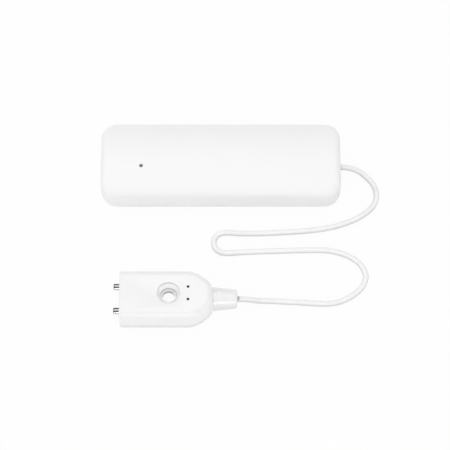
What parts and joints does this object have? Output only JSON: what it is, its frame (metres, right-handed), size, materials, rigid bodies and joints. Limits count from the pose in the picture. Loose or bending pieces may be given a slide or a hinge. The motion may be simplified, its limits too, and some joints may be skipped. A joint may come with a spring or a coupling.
{
  "type": "water leak sensor",
  "caption": "Slim white battery alarm unit with a crowned front, joined by a thin cord to a small flat probe with contact pins in its end and a countersunk screw hole.",
  "frame": {"origin": "middle of the main unit's flat back face", "axes": "+X along the main unit towards its cord, +Y away from the probe, +Z out of the unit's crowned front"},
  "size_m": [0.1024, 0.0775, 0.0149],
  "materials": {
    "white_shell": "satin white moulding",
    "white_soft": "soft white, matt",
    "green_board": "green solder mask",
    "black_moulding": "black moulded body",
    "cream_moulding": "cream moulding",
    "smoked_clear": "smoked clear",
    "lamp_yellow": "clear yellow lens",
    "bright_nickel": "bright nickel plate",
    "dark_nickel": "dark nickel plate",
    "zinc_steel": "zinc plate",
    "cell_jacket": "plain dark jacket",
    "red_wire": "red insulation",
    "black_wire": "black insulation"
  },
  "bodies": {
    "sensor": {"back_cover": "white_shell", "battery_cell_1": "cell_jacket", "battery_cell_2": "cell_jacket", "board_screw_1": "zinc_steel", "board_screw_2": "zinc_steel", "clamp_screw_1": "zinc_steel", "clamp_screw_2": "zinc_steel", "contact_pin_1": "bright_nickel", "contact_pin_2": "bright_nickel", "cord_clamp": "white_shell", "cord_core_1": "red_wire", "cord_core_2": "black_wire", "cord_grommet": "white_soft", "cord_plug": "cream_moulding", "cord_socket": "cream_moulding", "cord_tail": "white_soft", "drip_contact_1": "dark_nickel", "drip_contact_2": "dark_nickel", "front_cover": "white_shell", "light_pipe": "smoked_clear", "link_contact": "bright_nickel", "link_spring": "bright_nickel", "main_board": "green_board", "negative_contact": "bright_nickel", "negative_spring": "bright_nickel", "positive_contact": "bright_nickel", "power_chip": "black_moulding", "probe_base": "white_shell", "probe_board": "green_board", "probe_cord": "white_soft", "probe_core_1": "red_wire", "probe_core_2": "black_wire", "probe_housing": "white_shell", "radio_module": "green_board", "radio_shield": "bright_nickel", "status_led": "lamp_yellow", "strain_relief": "white_soft", "supply_capacitor": "zinc_steel", "switch_body": "black_moulding"},
    "button": {"pairing_button": "cream_moulding"}
  },
  "joints": [
    {"name": "pairing_button_press", "type": "slide", "parent": "sensor", "child": "button", "axis": [0, 0, -1], "range_m": [0, 0.00025], "stiffness_N_per_m": 200}
  ]
}
